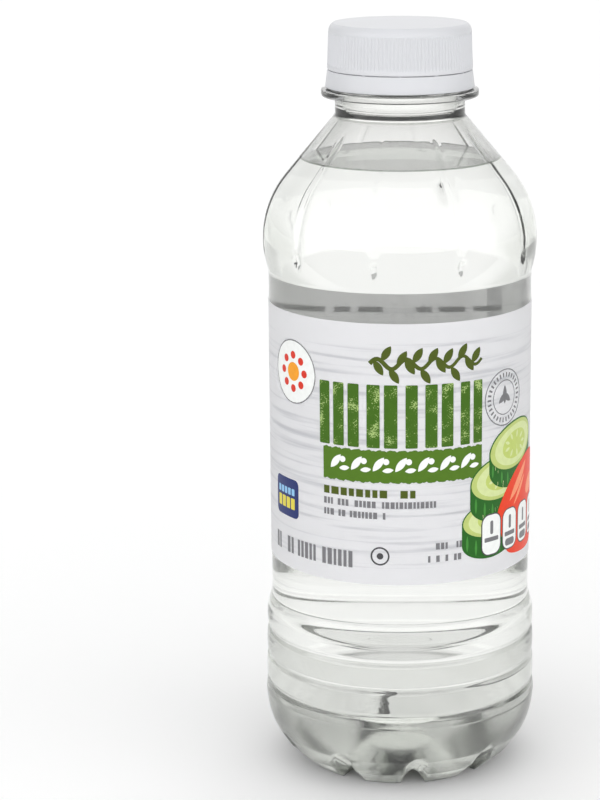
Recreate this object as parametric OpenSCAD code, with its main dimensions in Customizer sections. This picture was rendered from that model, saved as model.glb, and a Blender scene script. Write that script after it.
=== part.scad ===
// Capped PET vinegar bottle: blown shell, drink, wrap-round label, screw cap and tamper-evident band.
// Millimetres, +Z up, origin on the axis at the plane that the feet stand on.

/* [Shell wall] */
// Thickness of the blown wall
wall = 0.4; // [0.25:0.05:0.8]

/* [Base] */
// Radius of the outer edge of the feet
foot_r = 24; // [20:0.5:26]
// Radius of the inner edge of the feet
foot_inner_r = 17; // [14:0.5:18]
// Height of the pushed-up centre of the base
pushup_h = 6.5; // [4:0.5:9]
// Radius of the flat in the middle of the base
pushup_r = 6; // [4:0.5:9]
// Number of feet, and of the channels between them
feet = 10; // [6:1:12]
// Radius of the round cutter of a channel
channel_r = 3; // [2:0.25:3.5]
// Height of a channel's roof over the standing plane
channel_h = 3.5; // [2:0.25:4.5]
// Radius at which a channel turns up the heel
channel_bend_r = 24; // [22:0.5:26]
// Slope of a channel up the heel, in degrees
channel_slope = 36; // [30:1:42]
// Turn of the first channel about the axis, in degrees
channel_turn = -82.5; // [-180:0.5:180]

/* [Heel and waist ribs] */
// Radius of the widest rib, at the top of the heel
heel_r = 33.9; // [31:0.1:38]
// Height of the widest rib over the standing plane
heel_h = 18; // [15:0.5:24]
// Radius of the rib next to the label panel
waist_r = 33.5; // [31:0.1:38]
// Number of ribs, counting the widest
ribs = 4; // [2:1:5]
// Distance from rib to rib
rib_pitch = 6.8; // [5.5:0.1:9]
// Depth of the grooves between the ribs
groove_depth = 0.55; // [0.3:0.05:1]
// Height of the step from the last rib to the label panel
step_h = 6; // [4:0.5:8]

/* [Label] */
// Radius of the label panel
panel_r = 32.2; // [30:0.1:33]
// Height of the label panel
panel_h = 81; // [74:1:110]
// Height of the label
label_h = 64; // [40:1:70]
// Distance from the panel's lower edge to the label
label_lift = 9.8; // [2:0.1:10]
// Thickness of the label
label_t = 0.12; // [0.06:0.02:0.3]

/* [Shoulder] */
// How far the shoulder stands out past the label panel
shoulder_bulge = 1.25; // [0.8:0.05:2]
// Radius of the shoulder's round profile
shoulder_round = 24.6; // [22:0.2:28]
// Angle at which the round profile runs into a cone, in degrees
shoulder_angle = 40; // [35:1:44]
// Number of upright flutes pressed into the shoulder
flutes = 10; // [6:1:12]
// Radius of the round cutter of a flute
flute_r = 1.5; // [1:0.1:2]
// Depth of a flute where the shoulder's round runs into the cone
flute_depth = 0.3; // [0.2:0.05:0.6]
// Height of the lower tip of the flutes over the label panel
flute_lift = 5; // [3:0.5:9]
// Distance from the upper end of a flute to the neck, along the cone
flute_end_gap = 2; // [1:0.5:5]
// Turn of the first flute about the axis, in degrees
flute_turn = -100.5; // [-180:0.5:180]

/* [Neck finish] */
// Outer radius of the neck under the support ring
neck_r = 15.75; // [15:0.05:17.5]
// Height of the straight neck under the support ring
neck_h = 4.5; // [3:0.5:8]
// Radius of the support ring
ring_r = 19.05; // [18:0.05:21]
// Thickness of the support ring
ring_t = 1.7; // [1.2:0.1:2.5]
// Outer radius of the finish, under the cap
finish_r = 15.9; // [15:0.05:16.2]
// Height of the finish over the support ring
finish_h = 14.2; // [12:0.1:18]
// Radius of the bore
bore_r = 13.8; // [11:0.1:14.2]

/* [Vinegar] */
// Distance from the lip down to the surface of the vinegar
ullage = 30.4; // [22:0.1:60]

/* [Cap] */
// Outer radius of the cap under its rounded edge
cap_r = 17.2; // [17:0.05:18.5]
// How much wider the foot of the skirt is than its top
cap_draft = 0.35; // [0:0.05:0.6]
// Thickness of the cap's top
cap_top_t = 1.5; // [1:0.1:2.5]
// Radius of the cap's rounded edge
cap_round = 2.2; // [1:0.1:3]
// Clearance of the cap round the finish
cap_clear = 0.2; // [0.1:0.05:0.4]
// Number of grip ridges round the cap
grips = 120; // [60:10:120]
// Depth of the grooves between the grip ridges
grip_depth = 0.25; // [0.15:0.05:0.35]
// Height of the smooth edges over and under the grip
grip_margin = 0.9; // [0.5:0.1:2]

/* [Tamper band] */
// Height of the tamper-evident band
band_h = 4; // [3:0.1:5]
// Radius of the band at its foot
band_r = 18; // [17.6:0.05:19]
// Gap between the band and the cap's skirt, and between the band and the support ring
band_gap = 0.35; // [0.2:0.05:0.6]
// Number of thin bridges that join the band to the skirt
bridges = 12; // [6:1:16]
// Width of a bridge
bridge_w = 0.7; // [0.4:0.1:1.2]

/* [Hidden] */

$fn = 96;
// Angle between the points of a round stretch of an outline
round_step = 6;
// Height between the points of the ribbed stretch
rib_step = rib_pitch / 8;
// Radius of the small rounds at the neck and on the support ring
small_round = 0.8;
// How far a flute's cutter stands clear of the cone at its upper end
flute_exit = 0.2;

// Heights from the standing plane up
waist_z = heel_h + (ribs - 1) * rib_pitch;
panel_z = waist_z + step_h;
label_z = panel_z + label_lift;
panel_top_z = panel_z + panel_h;
shoulder_r = panel_r + shoulder_bulge;
round_x = shoulder_r - shoulder_round;
round_z = panel_top_z + sqrt(pow(shoulder_round, 2) - pow(shoulder_round - shoulder_bulge, 2));
cone_r = round_x + shoulder_round * cos(shoulder_angle);
cone_z = round_z + shoulder_round * sin(shoulder_angle);
neck_z = cone_z + (cone_r - neck_r) / tan(shoulder_angle);
ring_z = neck_z + neck_h;
finish_z = ring_z + ring_t;
lip_z = finish_z + finish_h;
level_z = lip_z - ullage;
cap_z = lip_z + cap_top_t;
band_z = finish_z + band_gap;
skirt_z = band_z + band_h + band_gap;
bore_wall_clear = finish_r + cap_clear;

// Points of an arc about c from angle a to angle b, without its first point
function arc(c, r, a, b) =
    let (n = max(2, ceil(abs(b - a) / round_step)))
    [for (i = [1:n]) let (t = a + (b - a) * i / n) c + r * [cos(t), sin(t)]];

// Radius of the ribbed stretch at height z: a slight taper with a cosine wave pressed into it
function rib_r(z) =
    let (t = (z - heel_h) / (waist_z - heel_h))
    heel_r + (waist_r - heel_r) * t - groove_depth * (1 - cos(360 * (z - heel_h) / rib_pitch)) / 2;

// Heel: an arc that leaves the widest rib upright and comes down on the outer edge of the feet
heel_drop = heel_r - foot_r;
heel_round = (pow(heel_h, 2) + pow(heel_drop, 2)) / (2 * heel_drop);
heel_angle = asin(heel_h / heel_round);

// Step from the last rib to the panel: half a cosine wave
function step_r(z) = panel_r + (waist_r - panel_r) * (1 + cos(180 * (z - waist_z) / step_h)) / 2;

ribbed = [
    for (i = [1:round((waist_z - heel_h) / rib_step)])
        let (z = heel_h + i * rib_step) [rib_r(z), z]
];
stepped = [for (i = [1:6]) let (z = waist_z + step_h * i / 6) [step_r(z), z]];
body_side = concat(
    [[foot_r, 0]],
    arc([heel_r - heel_round, heel_h], heel_round, -heel_angle, 0),
    ribbed,
    stepped,
    [[panel_r, panel_top_z]],
    arc([round_x, round_z], shoulder_round, -acos(1 - shoulder_bulge / shoulder_round), shoulder_angle)
);

// Unit normal to the right of the direction from p to q, which is outwards on an outline that climbs
function outward(p, q) = let (d = q - p) [d[1], -d[0]] / norm(d);

// The outline moved inwards by t, at each corner along the line halfway between its two sides
function inset(p, t) = [
    for (i = [0:len(p) - 1])
        let (
            a = outward(p[max(i - 1, 0)], p[max(i, 1)]),
            b = outward(p[min(i, len(p) - 2)], p[min(i + 1, len(p) - 1)])
        )
        p[i] - (a + b) * t / (1 + a * b)
];

module revolve(points) {
    rotate_extrude() polygon(points);
}

// Centre of the circle through three points
function centre_of(a, b, c) =
    let (
        d = 2 * (a[0] * (b[1] - c[1]) + b[0] * (c[1] - a[1]) + c[0] * (a[1] - b[1])),
        x = (a * a) * (b[1] - c[1]) + (b * b) * (c[1] - a[1]) + (c * c) * (a[1] - b[1]),
        y = (a * a) * (c[0] - b[0]) + (b * b) * (a[0] - c[0]) + (c * c) * (b[0] - a[0])
    )
    [x, y] / d;
function angle_about(c, p) = atan2(p[1] - c[1], p[0] - c[0]);

// A place on the shoulder's round profile at an angle, out past the surface by a distance
function on_round(angle, out) = [round_x, round_z] + (shoulder_round + out) * [cos(angle), sin(angle)];

// The flute's cutter follows a wider circle than the round, so it enters at the lower tip, is deepest
// half way up the round, and leaves through the cone short of the neck
flute_low_angle = asin((panel_top_z + flute_lift - round_z) / shoulder_round);
cone_out = [cos(shoulder_angle), sin(shoulder_angle)];
flute_low = on_round(flute_low_angle, flute_r);
flute_mid = on_round(shoulder_angle, flute_r - flute_depth);
flute_high = [neck_r, neck_z] + flute_end_gap * [cone_out[1], -cone_out[0]] + (flute_r + flute_exit) * cone_out;
flute_c = centre_of(flute_low, flute_mid, flute_high);
flute_path_r = norm(flute_low - flute_c);
flute_start = angle_about(flute_c, flute_low) - 3;
flute_end = angle_about(flute_c, flute_high);

// Tubes along all the flutes, grown by t
module flute_cutters(t = 0) {
    for (i = [0:flutes - 1])
        rotate([0, 0, flute_turn + i * 360 / flutes])
        translate([flute_c[0], 0, flute_c[1]])
        rotate([90, 0, 0])
        rotate_extrude(angle = flute_end - flute_start, start = flute_start)
        translate([flute_path_r, 0])
        circle(r = flute_r + t);
}

// Channels between the feet, grown by t: a level run from the push-up, then a run up the heel
module channel_cutters(t = 0) {
    for (i = [0:feet - 1])
        rotate([0, 0, channel_turn + i * 360 / feet]) {
            translate([pushup_r, 0, channel_h - channel_r])
                rotate([0, 90, 0])
                cylinder(r = channel_r + t, h = channel_bend_r - pushup_r + channel_r / 2);
            translate([channel_bend_r, 0, channel_h])
                rotate([0, -channel_slope, 0])
                translate([-channel_r, 0, -channel_r])
                rotate([0, 90, 0])
                cylinder(r = channel_r * 0.94 + t, h = heel_r - channel_bend_r + 4 * channel_r);
        }
}

outer_base = [[0, pushup_h], [pushup_r, pushup_h], [foot_inner_r, 0]];
neck_side = [
    [neck_r, neck_z],
    [neck_r, ring_z],
    [ring_r - small_round, ring_z],
    [ring_r, ring_z + ring_t / 3],
    [ring_r, finish_z - ring_t / 3],
    [ring_r - small_round, finish_z],
    [finish_r, finish_z],
    [finish_r, lip_z]
];

inner_side = inset(body_side, wall);
inner_cone = inner_side[len(inner_side) - 1];
bore_z = inner_cone[1] + (inner_cone[0] - bore_r) / tan(shoulder_angle);
inner_base = [[0, pushup_h + wall], [pushup_r, pushup_h + wall], [foot_inner_r + wall, wall]];
inner_foot = [[foot_r - wall, wall]];

// Everything inside the shell, up to height top
module cavity(top) {
    difference() {
        intersection() {
            revolve(concat(
                inner_base,
                inner_foot,
                [for (i = [1:len(inner_side) - 1]) inner_side[i]],
                [[bore_r, bore_z], [bore_r, lip_z + 1], [0, lip_z + 1]]
            ));
            cylinder(r = 2 * heel_r, h = top);
        }
        flute_cutters(wall);
        channel_cutters(wall);
    }
}

module bottle() {
    color([0.86, 0.88, 0.86, 0.35])
    difference() {
        revolve(concat(outer_base, body_side, neck_side, [[0, lip_z]]));
        flute_cutters();
        channel_cutters();
        cavity(lip_z + 1);
    }
}

module vinegar() {
    color([0.93, 0.95, 0.93, 0.5])
    cavity(level_z);
}

module label() {
    color("whitesmoke")
    translate([0, 0, label_z])
    difference() {
        cylinder(r = panel_r + label_t, h = label_h);
        translate([0, 0, -1]) cylinder(r = panel_r, h = label_h + 2);
    }
}

// Outline of the grip: points of a wavy circle, each ridge with one crest and one valley
module grip_star() {
    polygon([
        for (i = [0:2 * grips - 1])
            let (
                a = i * 180 / grips,
                r = cap_r + cap_draft - (i % 2) * grip_depth
            )
            r * [cos(a), sin(a)]
    ]);
}

grip_z = skirt_z + grip_margin;
grip_top_z = cap_z - cap_round;
cap_outline = concat(
    [[0, skirt_z], [cap_r + cap_draft, skirt_z], [cap_r, grip_top_z]],
    arc([cap_r - cap_round, grip_top_z], cap_round, 0, 90),
    [[0, cap_z]]
);

module cap() {
    color("white")
    difference() {
        revolve(cap_outline);
        translate([0, 0, skirt_z - 1]) cylinder(r = bore_wall_clear, h = lip_z - skirt_z + 1);
        difference() {
            translate([0, 0, grip_z]) cylinder(r = 2 * cap_r, h = grip_top_z - grip_z);
            translate([0, 0, grip_z - 1]) linear_extrude(height = grip_top_z - grip_z + 2) grip_star();
        }
    }
}

module tamper_band() {
    band_top_z = band_z + band_h;
    color("white") {
        difference() {
            revolve([
                [0, band_z],
                [band_r, band_z],
                [cap_r + cap_draft, band_top_z],
                [0, band_top_z]
            ]);
            translate([0, 0, band_z - 1]) cylinder(r = bore_wall_clear, h = band_h + 2);
        }
        for (i = [0:bridges - 1])
            rotate([0, 0, i * 360 / bridges])
            translate([bore_wall_clear + 0.2, -bridge_w / 2, band_top_z - 0.2])
            cube([cap_r - bore_wall_clear - 0.2, bridge_w, band_gap + 0.2]);
    }
}

bottle();
vinegar();
label();
cap();
tamper_band();
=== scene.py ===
"""Vinegar bottle: a blown PET shell, the drink, a wrap-round printed label, a screw cap and its tamper band.

Every length is in metres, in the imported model's own frame: +Z up, the axis at the origin, feet on z = 0.
"""
import functools
import math
import random

import bmesh
import bpy
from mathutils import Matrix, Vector


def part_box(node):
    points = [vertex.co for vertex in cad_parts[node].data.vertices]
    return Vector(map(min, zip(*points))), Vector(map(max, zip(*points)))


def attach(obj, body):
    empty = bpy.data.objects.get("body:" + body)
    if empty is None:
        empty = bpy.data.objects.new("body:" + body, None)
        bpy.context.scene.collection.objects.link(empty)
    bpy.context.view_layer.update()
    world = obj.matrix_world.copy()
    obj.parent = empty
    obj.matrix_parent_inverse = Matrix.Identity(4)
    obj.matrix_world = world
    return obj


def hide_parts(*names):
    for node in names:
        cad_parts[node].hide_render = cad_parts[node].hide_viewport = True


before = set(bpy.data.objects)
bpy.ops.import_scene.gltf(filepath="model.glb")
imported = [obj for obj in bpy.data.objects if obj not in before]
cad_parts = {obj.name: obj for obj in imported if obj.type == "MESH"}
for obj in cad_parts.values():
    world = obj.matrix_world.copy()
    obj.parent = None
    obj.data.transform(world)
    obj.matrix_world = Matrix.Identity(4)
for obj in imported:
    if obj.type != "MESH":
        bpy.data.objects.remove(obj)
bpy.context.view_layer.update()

bl_info = {
    "name": "Vinegar Bottle",
    "version": (1, 0, 0),
    "blender": (4, 5, 0),
    "location": "3D Viewport > Sidebar > Bottle",
    "description": "Builds the shell, drink, label, cap and tamper band of a PET vinegar bottle",
    "category": "Object",
}

BODY = "root"


def mm(value):
    """Millimetres to metres."""
    return value * 0.001


# ---------------------------------------------------------------- sizes and colours

def length(name, description, default):
    """A length property with its default in millimetres."""
    return bpy.props.FloatProperty(
        name=name, description=description, default=mm(default), unit="LENGTH", precision=5
    )


def angle(name, description, default):
    """An angle property with its default in degrees."""
    return bpy.props.FloatProperty(
        name=name, description=description, default=math.radians(default), subtype="ANGLE"
    )


def count(name, description, default):
    """A whole number property."""
    return bpy.props.IntProperty(name=name, description=description, default=default, min=1)


def share(name, description, default):
    """A share of the whole."""
    return bpy.props.FloatProperty(
        name=name, description=description, default=default, subtype="FACTOR", min=0, max=1
    )


def linear(hex_colour):
    """An sRGB hex value as linear RGBA."""
    out = []
    for k in (0, 2, 4):
        c = int(hex_colour[k:k + 2], 16) / 255
        out.append(c / 12.92 if c <= 0.04045 else ((c + 0.055) / 1.055) ** 2.4)
    return (*out, 1.0)


def colour(name, description, hex_colour):
    """A colour property with its default as an sRGB hex value."""
    return bpy.props.FloatVectorProperty(
        name=name, description=description, default=linear(hex_colour), size=4, subtype="COLOR",
        min=0, max=1
    )


class ShellSizes(bpy.types.PropertyGroup):
    """Sizes of the blown shell and what fills it."""
    wall: length("Wall", "Thickness of the blown wall", 0.4)
    foot_r: length("Foot radius", "Radius of the outer edge of the feet", 24)
    foot_inner_r: length("Foot inner radius", "Radius of the inner edge of the feet", 17)
    pushup_h: length("Push-up height", "Height of the pushed-up centre of the base", 6.5)
    pushup_r: length("Push-up radius", "Radius of the flat in the middle of the base", 6)
    channel_r: length("Channel radius", "Half the width of a channel between two feet", 2.95)
    channel_h: length("Channel height", "Height of a channel's roof over the floor", 3.5)
    channel_slope: angle("Channel slope", "Slope of a channel up the heel", 36)
    facet_low: length("First facet height", "Height of the corner between the two foot facets", 3.9)
    facet_high: length("Second facet height", "Height at which the facets run into the round heel", 8.3)
    heel_r: length("Heel radius", "Radius of the widest rib, at the top of the heel", 33.9)
    heel_h: length("Heel height", "Height of the widest rib", 18)
    waist_r: length("Waist radius", "Radius of the rib next to the label panel", 33.5)
    ribs: count("Ribs", "Number of ribs, counting the widest", 4)
    rib_pitch: length("Rib pitch", "Distance from rib to rib", 6.8)
    groove_depth: length("Groove depth", "Depth of the grooves between the ribs", 0.62)
    groove_w: length("Groove width", "Half the width of a groove at a third of its depth", 0.68)
    groove_place: share("Groove place", "Where a groove lies between two ribs", 0.42)
    step_h: length("Step height", "Height of the step from the last rib to the label panel", 6)
    panel_r: length("Panel radius", "Radius of the label panel", 32.2)
    panel_h: length("Panel height", "Height of the label panel", 81)
    bulge: length("Shoulder bulge", "How far the shoulder stands out past the label panel", 1.25)
    round_r: length("Shoulder round", "Radius of the shoulder's round profile", 24.6)
    cone_angle: angle("Cone angle", "Angle at which the round profile runs into a cone", 40)
    patterns: count("Flutes and feet", "Number of flutes, and of channels between the feet", 10)
    flute_turn: angle("Flute turn", "Turn of the first flute about the axis", -100.5)
    channel_turn: angle("Channel turn", "Turn of the first channel about the axis", -82.5)
    flute_depth: length("Flute depth", "Depth of a flute half way up", 0.34)
    flute_half: length("Flute half width", "Half the width of a flute half way up", 1.75)
    drop_h: length("Drop height", "Height of the drop at a flute's foot", 3.4)
    flute_lift: length("Flute lift", "Height of a flute's lower tip over the label panel", 4)
    neck_r: length("Neck radius", "Outer radius of the neck under the support ring", 15.75)
    neck_h: length("Neck height", "Height of the straight neck under the support ring", 4.5)
    ring_r: length("Ring radius", "Radius of the support ring", 19.05)
    ring_t: length("Ring thickness", "Thickness of the support ring", 1.7)
    finish_r: length("Finish radius", "Outer radius of the finish under the cap", 15.9)
    bore_r: length("Bore radius", "Radius of the bore", 13.8)
    into_wall: length("Reach into the wall", "How far the drink reaches into the wall", 0.15)
    meniscus: length("Meniscus", "How far the drink climbs at its edge", 0.4)
    columns: count("Columns", "Faces round the shell", 320)


class CapSizes(bpy.types.PropertyGroup):
    """Sizes of the cap and its band."""
    cap_r: length("Cap radius", "Outer radius of the cap under its rounded edge", 17.2)
    draft: length("Draft", "How much wider the foot of the skirt is than its top", 0.35)
    top_t: length("Top thickness", "Thickness of the cap's top", 1.5)
    edge: length("Edge round", "Height of the cap's rounded edge", 2.0)
    clear: length("Clearance", "Clearance of the cap round the finish", 0.2)
    grips: count("Grips", "Number of grip ridges round the cap", 120)
    grip_depth: length("Grip depth", "Depth of the grooves between the grip ridges", 0.25)
    grip_margin: length("Grip margin", "Height of the smooth edges over and under the grip", 0.9)
    band_r: length("Band radius", "Radius of the tamper band at its foot", 18)
    band_gap: length("Band gap", "Gap between the band and the skirt", 0.14)
    bridges: count("Bridges", "Number of bridges that join the band to the skirt", 12)
    bridge_w: length("Bridge width", "Width of a bridge", 0.7)


class LabelSizes(bpy.types.PropertyGroup):
    """Sizes of the label and the colours of its inks."""
    film_t: length("Film", "Thickness of the label film", 0.1)
    overlap: length("Overlap", "How far the two ends of the label lie on each other", 1.2)
    seam: length("Seam", "Place of the inner end, to the right of the front, along the label", 90.7)
    ink_t: length("Ink", "How far each layer of ink stands out", 0.01)
    plain_top: length("Plain band", "Height of the plain band at the upper edge", 4.9)
    plain_foot: length("Plain foot", "Height of the plain band at the lower edge", 3.6)
    leaf_green: colour("Leaf green", "Ink of the large blocks", "3D6606")
    banner_green: colour("Banner green", "Ink of the banner", "4E7414")
    stem_green: colour("Stem green", "Ink of the flourish", "4A580D")
    text_grey: colour("Text grey", "Ink of the small dashes", "77777A")
    badge_blue: colour("Badge blue", "Ink of the square badge", "1C2C6A")
    skin_green: colour("Skin green", "Ink of the cucumber's skin", "1F6216")
    flesh_green: colour("Flesh green", "Ink of the cucumber's flesh", "BCCB76")
    tomato_red: colour("Tomato red", "Ink of the tomato", "E83C12")


GROUPS = {"bottle_shell": ShellSizes, "bottle_cap": CapSizes, "bottle_label": LabelSizes}


# ---------------------------------------------------------------- nodes and meshes

def node(tree, kind, inputs=None, **settings):
    """Adds a node, sets its properties, and sets or links its inputs by name or number."""
    made = tree.nodes.new(kind)
    for key, value in settings.items():
        setattr(made, key, value)
    for key, value in (inputs or {}).items():
        if isinstance(value, bpy.types.NodeSocket):
            tree.links.new(value, made.inputs[key])
        else:
            made.inputs[key].default_value = value
    return made


def sums(tree, operation, *values):
    """The result of a maths node."""
    return node(tree, "ShaderNodeMath", dict(enumerate(values)), operation=operation).outputs[0]


def aimed(tree, operation, *values, output=0):
    """The result of a vector maths node."""
    return node(tree, "ShaderNodeVectorMath", dict(enumerate(values)), operation=operation).outputs[output]


def split(tree, vector):
    """The outputs X, Y and Z of a vector."""
    return node(tree, "ShaderNodeSeparateXYZ", {0: vector}).outputs


def combined(tree, **parts):
    """A vector made of X, Y and Z."""
    return node(tree, "ShaderNodeCombineXYZ", parts).outputs[0]


def ramp(tree, value, low, high, start=0.0, end=1.0, kind="SMOOTHSTEP"):
    """Start where the value is at its low end, end at its high end, and a run between them."""
    return node(tree, "ShaderNodeMapRange", {
        "Value": value, "From Min": low, "From Max": high, "To Min": start, "To Max": end,
    }, interpolation_type=kind).outputs[0]


def blend(tree, factor, a, b):
    """A mix of two colours, each an sRGB hex value, a linear colour or a socket."""
    a, b = (linear(c) if isinstance(c, str) else c for c in (a, b))
    return node(tree, "ShaderNodeMix", {"Factor": factor, "A": a, "B": b}, data_type="RGBA").outputs["Result"]


def noise(tree, vector, scale, detail, **more):
    """A noise of so many waves to the metre."""
    inputs = {"Vector": vector, "Scale": scale, "Detail": detail, **more}
    return node(tree, "ShaderNodeTexNoise", inputs).outputs[0]


def bumps(tree, height, strength, distance):
    """A bumped normal."""
    inputs = {"Height": height, "Strength": strength, "Distance": distance}
    return node(tree, "ShaderNodeBump", inputs).outputs[0]


def geometry_tree(name, sockets):
    """A Geometry Nodes tree with a geometry input and output and the named inputs given."""
    tree = bpy.data.node_groups.new(name, "GeometryNodeTree")
    tree.interface.new_socket("Geometry", in_out="INPUT", socket_type="NodeSocketGeometry")
    tree.interface.new_socket("Geometry", in_out="OUTPUT", socket_type="NodeSocketGeometry")
    for label, kind in sockets:
        tree.interface.new_socket(label, in_out="INPUT", socket_type="NodeSocket" + kind)
    return tree


def geo(tree, kind, inputs=None, **settings):
    """The first output of a geometry node."""
    return node(tree, "GeometryNode" + kind, inputs, **settings).outputs[0]


def together(tree, *parts):
    """Several geometries as one."""
    both = node(tree, "GeometryNodeJoinGeometry")
    for part in parts:
        tree.links.new(part, both.inputs[0])
    return both.outputs[0]


def finish_geometry(tree, geometry, material):
    """Realizes what is instanced, sets the material and ends the tree."""
    made = geo(tree, "RealizeInstances", {"Geometry": geometry})
    made = geo(tree, "SetMaterial", {"Geometry": made, "Material": material})
    node(tree, "NodeGroupOutput", {"Geometry": made})
    return tree


def bake(obj, tree, values):
    """Runs a tree on an object with named values and leaves the result as a plain mesh."""
    mod = obj.modifiers.new(tree.name, "NODES")
    mod.node_group = tree
    for item in tree.interface.items_tree:
        if item.in_out == "INPUT" and item.name in values:
            mod[item.identifier] = values[item.name]
    obj.update_tag()
    depsgraph = bpy.context.evaluated_depsgraph_get()
    mesh = bpy.data.meshes.new_from_object(obj.evaluated_get(depsgraph))
    obj.modifiers.clear()
    obj.data = mesh
    mesh.name = obj.name
    return obj


def new_object(name, verts, edges=(), faces=()):
    """A mesh object at the origin."""
    mesh = bpy.data.meshes.new(name)
    mesh.from_pydata([Vector(v) for v in verts], edges, faces)
    obj = bpy.data.objects.new(name, mesh)
    bpy.context.scene.collection.objects.link(obj)
    return obj


def heights(name):
    """The lowest and the highest place of a CAD node."""
    low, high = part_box(name)
    return low[2], high[2]


def hand_over(obj, slot, *nodes):
    """Makes a finished piece ride on the body and stand for its CAD nodes; the slot is not used."""
    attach(obj, BODY)
    if nodes:
        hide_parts(*nodes)


# ---------------------------------------------------------------- outlines

def arc(centre, radius, start, end, step):
    """Points of an arc, both ends included; angles in radians and the step in metres."""
    n = max(2, math.ceil(abs(end - start) * radius / step))
    turns = [start + (end - start) * k / n for k in range(n + 1)]
    return [(centre[0] + radius * math.cos(t), centre[1] + radius * math.sin(t)) for t in turns]


def straight(p, q, step, edge=mm(0.25)):
    """Points from p to q with one close to each end, so that smooth shading keeps the run flat."""
    run = math.dist(p, q)
    n = max(1, math.ceil((run - 2 * edge) / step))
    shares = [0, *[(edge + (run - 2 * edge) * k / n) / run for k in range(n + 1)], 1]
    return [(p[0] + (q[0] - p[0]) * s, p[1] + (q[1] - p[1]) * s) for s in shares]


def joined(*runs):
    """Runs of points as one outline, without the doubled points."""
    out = []
    for run in runs:
        out += [p for p in run if not out or math.dist(p, out[-1]) > mm(0.01)]
    return out


def normals(points):
    """Mitred unit-step normals to the right of the outline's direction, outwards where it climbs."""
    out = []
    for k in range(len(points)):
        pair = []
        for a, b in ((max(k - 1, 0), max(k, 1)), (min(k, len(points) - 2), min(k + 1, len(points) - 1))):
            dx, dz = points[b][0] - points[a][0], points[b][1] - points[a][1]
            size = math.hypot(dx, dz)
            pair.append((dz / size, -dx / size))
        (ax, az), (bx, bz) = pair
        share = 1 + ax * bx + az * bz
        out.append(((ax + bx) / share, (az + bz) / share))
    return out


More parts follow.
